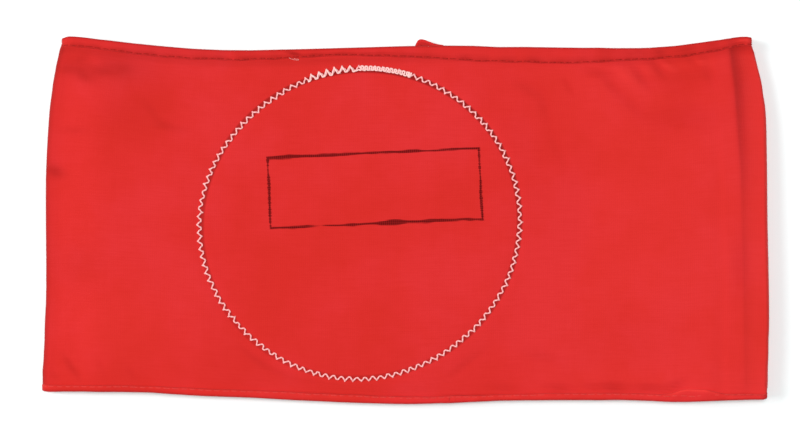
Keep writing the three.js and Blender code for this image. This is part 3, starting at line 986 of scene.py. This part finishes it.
allowance = {
    "ply": 0.40 * mm,
    "stepBack": 0.5 * mm,  # the lower ply's raw edge is set back
    "wider": 0.5 * mm,  # and the left side lies this far past the frame's
    "rows": 110,
    "columns": 16,
    # the top end's height over the mouth's edge, (x, height) in mm
    "corner": curveOf([
        (2.6, -0.8), (3.0, 0.6), (3.4, 1.7), (4.3, 2.15), (5.5, 2.0), (7.1, 1.3), (9.0, 0.6),
        (10.9, 0.42), (13.0, 0.28), (15.0, 0.1),
    ]),
    "bottomInset": 0.6 * mm,
    "curl": 1.9 * mm,  # the corner lifts by this
    "curlReach": (-1 * mm, 2.2 * mm),  # past the mouth's edge
    "waveHeight": 0.05 * mm,
    "waveSize": (6 * mm, 13 * mm),
    "thinEnds": 0.35,
}


def allowanceSection(left, right):  # x and height: the lower face, the right edges, the upper face, the left
    ply, back = allowance["ply"], allowance["stepBack"]
    lower = np.linspace(0.04, 1, allowance["columns"])
    upper = np.linspace(0.96, 0.04, allowance["columns"])
    section = [(left + share * (right - back - left), 0.0) for share in lower]
    section += [(right - back, ply), (right - back * 1.6, ply + 0.02 * mm)]
    section += [(right, ply + 0.04 * mm), (right, 2 * ply)]
    section += [(left + share * (right - left), 2 * ply) for share in upper]
    section += [(left, 1.6 * ply), (left - 0.1 * mm, ply), (left, 0.4 * ply)]
    return section


def makeAllowance():
    low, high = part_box("seam_allowance")
    section = allowanceSection(low.x - allowance["wider"], high.x)
    curlFrom, curlTo = allowance["curlReach"]
    waveX, waveY = allowance["waveSize"]
    rings, around, flat = [], [], []
    for i in range(allowance["rows"] + 1):
        rise = i / allowance["rows"]
        outline = []
        for x, z in section:
            bottom = float(mouthAt("bottom", x)) + allowance["bottomInset"]
            top = float(mouthAt("top", x)) + float(allowance["corner"](x))
            y = bottom + (top - bottom) * rise
            past = float(step(y - mouthAt("top", x), curlFrom, curlTo))
            wave = allowance["waveHeight"] * (1 + unevenness(x / waveX, y / waveY, 5.0))
            edgeThin = 1 - allowance["thinEnds"] * float(step(abs(rise - 0.5), 0.49, 0.5))
            outline.append((x, y, z * edgeThin + wave + allowance["curl"] * past))
        rings.append(outline)
        around.append(runLength(outline + outline[:1]))
        flat.append(np.full(len(section) + 1, outline[0][1] + 0.06))
    return sweptPiece("seam_allowance_cloth", np.array(rings), around, flat)


allowancePiece = makeAllowance()
print("seam allowance")


# Materials

def linear(hexColour):
    values = [int(hexColour[i:i + 2], 16) / 255 for i in (1, 3, 5)]
    return [v / 12.92 if v <= 0.04045 else ((v + 0.055) / 1.055) ** 2.4 for v in values] + [1.0]


def addNode(tree, kind, settings=None, links=None):
    node = tree.nodes.new(kind)
    for name, value in (settings or {}).items():
        if isinstance(name, str) and hasattr(node, name):
            setattr(node, name, value)
        else:
            node.inputs[name].default_value = value
    for name, source in (links or {}).items():
        tree.links.new(source, node.inputs[name])
    return node


def newMaterial(name):
    material = bpy.data.materials.new(name)
    material.use_nodes = True
    material.node_tree.nodes.clear()
    return material, material.node_tree


# Plain-woven cotton, dyed red right through: matt and a little fuzzy, with uneven weft threads
# that run round the band and show as faint streaks
cotton = {
    "red": "#c72826",
    "lighter": "#ca2b2c",  # where the nap stands up
    "deeper": "#c32621",
    "streak": "#b81a16",
    "threadPitch": 0.6,  # mm; the real threads lie 0.35 apart, too fine for the picture
    "weftStreak": (8.0, 0.42),  # length and width of a slub, mm
    "warpStreak": (0.5, 14.0),
    "blotch": 34.0,  # patches per metre
    "paintedShade": "#8f130f",  # painted shade: in dents and creases, by the folds and groove, along the hems' edges and stitching
    "lit": "#f2413a",  # painted highlight: on rises, the right fold and the hems' lit edges
}
# Marking ink on cotton: a ruled rectangle, soaked in unevenly and broken up by the weave
inkFrame = {
    "centre": (-8.6 * mm, 9.55 * mm),
    "turn": 2.6,  # degrees
    "halfSize": (30.7, 10.2),  # mm
    "line": 0.33,
    "ink": "#540203",
    # where more or less ink was left: x, y, how far and how much, mm
    "loads": [
        (-26, 10.2, 7, 0.35), (5, -10.2, 6, 0.45), (31, 3, 12, -0.10), (31, -9, 7, -0.24),
        (-14, -10.2, 10, -0.15),
    ],
}
# Cloth drawn in under the zigzag, so that it lies in its own shade
stitchShade = {
    "colour": "#7c1411",
    "reach": (0.4, 1.1),  # mm to both sides, full and then fading
    "strength": (0.36, 0.85),
    "darkest": 62,  # degrees
    "shift": (0.1, -0.2),  # mm off the ring's centre
    "inside": 0.15,
}


def plainCotton(name, onBand):
    material, tree = newMaterial(name)
    mathNode, mapNode, noiseNode = "ShaderNodeMath", "ShaderNodeMapping", "ShaderNodeTexNoise"
    uv = addNode(tree, "ShaderNodeUVMap", {"uv_map": "clothUv"})
    perMm = uvSpan / mm
    cloth = addNode(tree, mapNode, {"Scale": (perMm, perMm, 1)}, {"Vector": uv.outputs["UV"]})
    axes = addNode(tree, "ShaderNodeSeparateXYZ", None, {"Vector": cloth.outputs["Vector"]})
    place = addNode(tree, "ShaderNodeTexCoord")

    # the weave: rounded thread crossings, one over and one under
    pitch = math.pi / cotton["threadPitch"]
    warpPhase = addNode(tree, mathNode, {"operation": "MULTIPLY", 1: pitch}, {0: axes.outputs["X"]})
    weftPhase = addNode(tree, mathNode, {"operation": "MULTIPLY", 1: pitch}, {0: axes.outputs["Y"]})
    warpWave = addNode(tree, mathNode, {"operation": "SINE"}, {0: warpPhase.outputs[0]})
    weftWave = addNode(tree, mathNode, {"operation": "SINE"}, {0: weftPhase.outputs[0]})
    crossed = addNode(
        tree, mathNode, {"operation": "MULTIPLY"},
        {0: warpWave.outputs[0], 1: weftWave.outputs[0]},
    )
    crown = addNode(tree, mathNode, {"operation": "ABSOLUTE"}, {0: crossed.outputs[0]})
    weave = addNode(tree, mathNode, {"operation": "POWER", 1: 0.5}, {0: crown.outputs[0]})

    # uneven yarn
    weftScale = tuple(1 / size for size in cotton["weftStreak"]) + (1,)
    warpScale = tuple(1 / size for size in cotton["warpStreak"]) + (1,)
    weftPlace = addNode(tree, mapNode, {"Scale": weftScale}, {"Vector": cloth.outputs["Vector"]})
    warpPlace = addNode(
        tree, mapNode, {"Scale": warpScale, "Location": (31, 7, 0)},
        {"Vector": cloth.outputs["Vector"]},
    )
    weft = addNode(
        tree, noiseNode, {"Scale": 1, "Detail": 1.5, "Roughness": 0.5},
        {"Vector": weftPlace.outputs["Vector"]},
    )
    warp = addNode(
        tree, noiseNode, {"Scale": 1, "Detail": 1, "Roughness": 0.5},
        {"Vector": warpPlace.outputs["Vector"]},
    )
    weftThick = addNode(
        tree, "ShaderNodeMapRange", {"From Min": 0.36, "From Max": 0.70},
        {"Value": weft.outputs["Fac"]},
    )
    warpThick = addNode(
        tree, "ShaderNodeMapRange", {"From Min": 0.36, "From Max": 0.72},
        {"Value": warp.outputs["Fac"]},
    )

    # colour: patches of raised and flattened nap, then the streaks
    patchy = {"Scale": cotton["blotch"], "Detail": 4, "Roughness": 0.6}
    blotch = addNode(tree, noiseNode, patchy, {"Vector": place.outputs["Object"]})
    ramp = addNode(tree, "ShaderNodeValToRGB", None, {"Fac": blotch.outputs["Fac"]})
    ramp.color_ramp.elements[0].position = 0.36
    ramp.color_ramp.elements[0].color = linear(cotton["deeper"])
    ramp.color_ramp.elements[1].position = 0.64
    ramp.color_ramp.elements[1].color = linear(cotton["lighter"])
    ramp.color_ramp.elements.new(0.5).color = linear(cotton["red"])
    streaks = addNode(tree, mathNode, {"operation": "MULTIPLY", 1: 0.16}, {0: weftThick.outputs["Result"]})
    streaksToo = addNode(
        tree, mathNode, {"operation": "MULTIPLY_ADD", 1: 0.06},
        {0: warpThick.outputs["Result"], 2: streaks.outputs[0]},
    )
    colour = addNode(
        tree, "ShaderNodeMix", {"data_type": "RGBA", 7: linear(cotton["streak"])},
        {0: streaksToo.outputs[0], 6: ramp.outputs["Color"]},
    ).outputs[2]

    # painted shade where the mark is above 0 and painted light where it is below, from the marks set on the
    # pieces
    lightAndShade = addNode(tree, "ShaderNodeAttribute", {"attribute_name": "lightAndShade"})
    for span, strength, marked in ((2.0, 0.68, cotton["paintedShade"]), (-1.0, 0.5, cotton["lit"])):
        share = addNode(
            tree, "ShaderNodeMapRange", {"From Min": 0.0, "From Max": span, "To Max": strength},
            {"Value": lightAndShade.outputs["Fac"]},
        )
        colour = addNode(
            tree, "ShaderNodeMix", {"data_type": "RGBA", 7: linear(marked)},
            {0: share.outputs["Result"], 6: colour},
        ).outputs[2]
    if onBand:
        colour = addStitchShade(tree, place, colour)
        colour = addInkFrame(tree, place, weft, weave, colour)
    surface = addNode(
        tree, "ShaderNodeBsdfPrincipled",
        {"Roughness": 0.88, "Specular IOR Level": 0.08, "Sheen Weight": 0.05, "Sheen Roughness": 0.5},
        {"Base Color": colour},
    )
    yarn = addNode(
        tree, mathNode, {"operation": "MULTIPLY_ADD", 1: 0.9},
        {0: weft.outputs["Fac"], 2: weave.outputs[0]},
    )
    height = addNode(
        tree, mathNode, {"operation": "MULTIPLY_ADD", 1: 0.5},
        {0: warp.outputs["Fac"], 2: yarn.outputs[0]},
    )
    bump = addNode(
        tree, "ShaderNodeBump", {"Strength": 0.25, "Distance": 0.00010},
        {"Height": height.outputs[0]},
    )
    tree.links.new(bump.outputs["Normal"], surface.inputs["Normal"])
    addNode(tree, "ShaderNodeOutputMaterial", None, {"Surface": surface.outputs[0]})
    return material


def frontOnly(tree, place):  # 1 on the front layer, 0 on the back one
    parts = addNode(tree, "ShaderNodeSeparateXYZ", None, {"Vector": place.outputs["Object"]})
    above = addNode(tree, "ShaderNodeMath", {"operation": "GREATER_THAN", 1: 4 * mm}, {0: parts.outputs["Z"]})
    return above.outputs[0]


def addStitchShade(tree, place, colour):
    mathNode = "ShaderNodeMath"
    x = ring["centre"][0] + stitchShade["shift"][0] * mm
    y = ring["centre"][1] + stitchShade["shift"][1] * mm
    scale = 1 / mm
    centred = addNode(
        tree, "ShaderNodeMapping", {"Location": (-x * scale, -y * scale, 0), "Scale": (scale, scale, 0)},
        {"Vector": place.outputs["Object"]},
    )
    parts = addNode(tree, "ShaderNodeSeparateXYZ", None, {"Vector": centred.outputs["Vector"]})
    radius = addNode(tree, "ShaderNodeVectorMath", {"operation": "LENGTH"}, {0: centred.outputs["Vector"]})
    angle = addNode(tree, mathNode, {"operation": "ARCTAN2"}, {0: parts.outputs["Y"], 1: parts.outputs["X"]})
    turned = addNode(
        tree, mathNode, {"operation": "MULTIPLY_ADD", 1: 2.0, 2: -2 * math.radians(ring["ovalAngle"])},
        {0: angle.outputs[0]},
    )
    swing = addNode(tree, mathNode, {"operation": "COSINE"}, {0: turned.outputs[0]})
    even = ring["radius"] / mm - stitchShade["inside"]
    wanted = addNode(
        tree, mathNode, {"operation": "MULTIPLY_ADD", 1: ring["oval"] / mm, 2: even},
        {0: swing.outputs[0]},
    )
    off = addNode(
        tree, mathNode, {"operation": "SUBTRACT"},
        {0: radius.outputs["Value"], 1: wanted.outputs[0]},
    )
    away = addNode(tree, mathNode, {"operation": "ABSOLUTE"}, {0: off.outputs[0]})
    full, faded = stitchShade["reach"]
    mask = addNode(
        tree, "ShaderNodeMapRange",
        {"interpolation_type": "SMOOTHSTEP", "From Min": full, "From Max": faded, "To Min": 1, "To Max": 0},
        {"Value": away.outputs[0]},
    )
    # deepest where the ring turns away from the light
    weakest, strongest = stitchShade["strength"]
    leaning = addNode(
        tree, mathNode, {"operation": "SUBTRACT", 1: math.radians(stitchShade["darkest"])},
        {0: angle.outputs[0]},
    )
    lean = addNode(tree, mathNode, {"operation": "COSINE"}, {0: leaning.outputs[0]})
    strength = addNode(
        tree, "ShaderNodeMapRange", {"From Min": -1, "From Max": 1, "To Min": weakest, "To Max": strongest},
        {"Value": lean.outputs[0]},
    )
    shade = addNode(
        tree, mathNode, {"operation": "MULTIPLY"}, {0: mask.outputs["Result"], 1: strength.outputs["Result"]}
    )
    front = addNode(
        tree, mathNode, {"operation": "MULTIPLY"},
        {0: shade.outputs[0], 1: frontOnly(tree, place)},
    )
    shaded = addNode(
        tree, "ShaderNodeMix", {"data_type": "RGBA", 7: linear(stitchShade["colour"])},
        {0: front.outputs[0], 6: colour},
    )
    return shaded.outputs[2]


def addInkFrame(tree, place, weft, weave, colour):
    mathNode = "ShaderNodeMath"
    x, y = inkFrame["centre"]
    scale, turn = 1 / mm, -math.radians(inkFrame["turn"])
    shiftX = -(x * math.cos(turn) - y * math.sin(turn)) * scale
    shiftY = -(x * math.sin(turn) + y * math.cos(turn)) * scale
    centred = addNode(
        tree, "ShaderNodeMapping",
        {"Location": (shiftX, shiftY, 0), "Rotation": (0, 0, turn), "Scale": (scale, scale, 0)},
        {"Vector": place.outputs["Object"]},
    )
    # the hand-ruled lines wander a little
    wander = addNode(
        tree, "ShaderNodeTexNoise", {"Scale": 0.11, "Detail": 2},
        {"Vector": centred.outputs["Vector"]},
    )
    wandered = addNode(
        tree, "ShaderNodeVectorMath", {"operation": "MULTIPLY_ADD", 1: (0.6, 0.6, 0)},
        {0: wander.outputs["Color"], 2: centred.outputs["Vector"]},
    )
    folded = addNode(tree, "ShaderNodeVectorMath", {"operation": "ABSOLUTE"}, {0: wandered.outputs["Vector"]})
    parts = addNode(tree, "ShaderNodeSeparateXYZ", None, {"Vector": folded.outputs["Vector"]})
    halfWide, halfHigh = inkFrame["halfSize"]
    pastX = addNode(tree, mathNode, {"operation": "SUBTRACT", 1: halfWide}, {0: parts.outputs["X"]})
    pastY = addNode(tree, mathNode, {"operation": "SUBTRACT", 1: halfHigh}, {0: parts.outputs["Y"]})
    outside = addNode(tree, mathNode, {"operation": "MAXIMUM"}, {0: pastX.outputs[0], 1: pastY.outputs[0]})
    away = addNode(tree, mathNode, {"operation": "ABSOLUTE"}, {0: outside.outputs[0]})
    # heavy and light stretches, soaked along the threads
    load = addNode(
        tree, "ShaderNodeTexNoise", {"Scale": 0.09, "Detail": 3},
        {"Vector": wandered.outputs["Vector"]},
    )
    half = addNode(
        tree, "ShaderNodeMapRange",
        {
            "From Min": 0.35, "From Max": 0.68,
            "To Min": inkFrame["line"] * 0.5, "To Max": inkFrame["line"] * 1.9,
        },
        {"Value": load.outputs["Fac"]},
    ).outputs["Result"]
    for loadX, loadY, reach, gain in inkFrame["loads"]:
        apart = addNode(
            tree, "ShaderNodeVectorMath", {"operation": "DISTANCE", 1: (loadX, loadY, 0)},
            {0: centred.outputs["Vector"]},
        )
        more = addNode(
            tree, "ShaderNodeMapRange",
            {
                "interpolation_type": "SMOOTHSTEP", "From Min": 0, "From Max": reach,
                "To Min": gain, "To Max": 0,
            },
            {"Value": apart.outputs["Value"]},
        )
        half = addNode(tree, mathNode, {"operation": "ADD"}, {0: half, 1: more.outputs["Result"]}).outputs[0]
    ragged = addNode(tree, mathNode, {"operation": "MULTIPLY_ADD", 1: 0.7}, {0: weft.outputs["Fac"], 2: half})
    edge = addNode(tree, mathNode, {"operation": "SUBTRACT", 1: 0.35}, {0: ragged.outputs[0]})
    over = addNode(tree, mathNode, {"operation": "SUBTRACT"}, {0: edge.outputs[0], 1: away.outputs[0]})
    line = addNode(
        tree, "ShaderNodeMapRange", {"interpolation_type": "SMOOTHSTEP", "From Min": -0.16, "From Max": 0.18},
        {"Value": over.outputs[0]},
    )
    grain = addNode(
        tree, "ShaderNodeMapRange", {"From Min": 0.1, "From Max": 0.7, "To Min": 0.62, "To Max": 0.96},
        {"Value": weave.outputs[0]},
    )
    inked = addNode(
        tree, mathNode, {"operation": "MULTIPLY"},
        {0: line.outputs["Result"], 1: grain.outputs["Result"]},
    )
    front = addNode(
        tree, mathNode, {"operation": "MULTIPLY"},
        {0: inked.outputs[0], 1: frontOnly(tree, place)},
    )
    printed = addNode(
        tree, "ShaderNodeMix", {"data_type": "RGBA", 7: linear(inkFrame["ink"])},
        {0: front.outputs[0], 6: colour},
    )
    return printed.outputs[2]


# Spun sewing thread: two plies twisted together, which gives fine slanting ridges
thread = {
    "twist": 1.0,  # mm for a turn of the plies
    "ridge": 0.08 * mm,
}


def spunThread(name, colour, shade, sheen, doubled=None):
    material, tree = newMaterial(name)
    uv = addNode(tree, "ShaderNodeUVMap", {"uv_map": "clothUv"})
    perTurn = uvSpan / mm / thread["twist"]
    wound = addNode(tree, "ShaderNodeMapping", {"Scale": (perTurn, 2, 1)}, {"Vector": uv.outputs["UV"]})
    parts = addNode(tree, "ShaderNodeSeparateXYZ", None, {"Vector": wound.outputs["Vector"]})
    slant = addNode(
        tree, "ShaderNodeMath", {"operation": "ADD"},
        {0: parts.outputs["X"], 1: parts.outputs["Y"]},
    )
    turn = addNode(tree, "ShaderNodeMath", {"operation": "MULTIPLY", 1: 2 * math.pi}, {0: slant.outputs[0]})
    ply = addNode(tree, "ShaderNodeMath", {"operation": "SINE"}, {0: turn.outputs[0]})
    dark = addNode(
        tree, "ShaderNodeMapRange", {"From Min": -1, "From Max": 0.6, "To Min": 0.55, "To Max": 0},
        {"Value": ply.outputs[0]},
    )
    mixed = addNode(
        tree, "ShaderNodeMix", {"data_type": "RGBA", 6: linear(colour), 7: linear(shade)},
        {0: dark.outputs["Result"]},
    ).outputs[2]
    if doubled:  # where it lies on itself, less of the red shines through
        layered = addNode(tree, "ShaderNodeAttribute", {"attribute_name": "doubled"})
        mixed = addNode(
            tree, "ShaderNodeMix", {"data_type": "RGBA", 7: linear(doubled)},
            {0: layered.outputs["Fac"], 6: mixed},
        ).outputs[2]
    surface = addNode(
        tree, "ShaderNodeBsdfPrincipled",
        {"Roughness": 0.72, "Specular IOR Level": 0.2, "Sheen Weight": sheen},
        {"Base Color": mixed},
    )
    bump = addNode(
        tree, "ShaderNodeBump", {"Strength": 0.5, "Distance": thread["ridge"]},
        {"Height": ply.outputs[0]},
    )
    tree.links.new(bump.outputs["Normal"], surface.inputs["Normal"])
    addNode(tree, "ShaderNodeOutputMaterial", None, {"Surface": surface.outputs[0]})
    return material


bandCotton = plainCotton("plain_woven_red_cotton_with_ink", True)
hemCotton = plainCotton("plain_woven_red_cotton", False)
whiteThread = spunThread("white_spun_cotton_thread", "#f6b9b7", "#e48688", 0.05, "#fbe2da")
pinkedThread = spunThread("loose_fibres_of_white_cotton_thread", "#ee9a96", "#dd7f7a", 0.0)
# the red thread again, painted paler for the bottom hem's stitches, which lie by its free edge that faces the
# light
litRedThread = spunThread("lit_red_spun_cotton_thread", "#d8443f", "#c22c27", 0.0)
redThread = spunThread("red_spun_cotton_thread", "#a81812", "#94120e", 0.0)


def dress(piece, material, slot, *nodes):
    piece.data.materials.clear()
    piece.data.materials.append(material)
    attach(piece, "root")
    if nodes:
        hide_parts(*nodes)


dress(bandCloth, bandCotton, "red_cotton", "band")
dress(hemPieces["top"], hemCotton, "red_cotton", "top_hem")
dress(hemPieces["bottom"], hemCotton, "red_cotton", "bottom_hem")
dress(allowancePiece, hemCotton, "red_cotton", "seam_allowance")
dress(hemPieces["topStitches"], redThread, "red_thread")
dress(hemPieces["bottomStitches"], litRedThread, "red_thread")
dress(ringPiece, whiteThread, "white_thread")
dress(fibrePiece, pinkedThread, "white_thread")
print("materials and what each piece stands for")


# Floor, light and camera

studio = {
    "photoSize": (800, 446),
    "pixel": 0.29066 * mm,
    "middle": (405.5, 220.0),  # the pixel that lies over the origin
    "lens": 200.0,
    "sensor": 36.0,
    "focusHeight": 6 * mm,
    "sky": 0.32,
    # two soft round lamps: place, size and power
    "lamps": [((0.08, 0.07, 1.6), 0.35, 15.4), ((-2.3, 0.34, 2.05), 1.9, 62.0)],
}


def makeStudio():
    bpy.ops.object.select_all(action="DESELECT")
    bpy.ops.mesh.primitive_plane_add(size=4, location=(0, 0, -0.05 * mm))
    floor = bpy.context.object
    floor.name = "floor"
    paper, tree = newMaterial("white_paper")  # smooth and matt, with no grain that shows
    sheetSurface = addNode(
        tree, "ShaderNodeBsdfPrincipled",
        {"Base Color": linear("#f4fbfb"), "Roughness": 0.9, "Specular IOR Level": 0.1},
    )
    addNode(tree, "ShaderNodeOutputMaterial", None, {"Surface": sheetSurface.outputs[0]})
    floor.data.materials.append(paper)

    world = bpy.data.worlds.new("studio")
    bpy.context.scene.world = world
    world.use_nodes = True
    world.node_tree.nodes["Background"].inputs["Color"].default_value = (1, 1, 1, 1)
    world.node_tree.nodes["Background"].inputs["Strength"].default_value = studio["sky"]
    bpy.context.scene.view_settings.view_transform = "Standard"

    for place, size, power in studio["lamps"]:
        bpy.ops.object.light_add(type="AREA", location=place)
        lamp = bpy.context.object
        lamp.data.shape = "DISK"
        lamp.data.size = size
        lamp.data.energy = power
        lamp.rotation_euler = (-lamp.location).to_track_quat("-Z", "Y").to_euler()

    width, height = (pixels * studio["pixel"] for pixels in studio["photoSize"])
    left, top = -studio["middle"][0] * studio["pixel"], studio["middle"][1] * studio["pixel"]
    away = studio["focusHeight"] + width * studio["lens"] / studio["sensor"]
    bpy.ops.object.camera_add(location=(left + width / 2, top - height / 2, away))
    camera = bpy.context.object
    camera.data.lens = studio["lens"]
    camera.data.sensor_width = studio["sensor"]
    camera.data.clip_end = 10
    bpy.context.scene.camera = camera


makeStudio()
print("floor, light and camera")
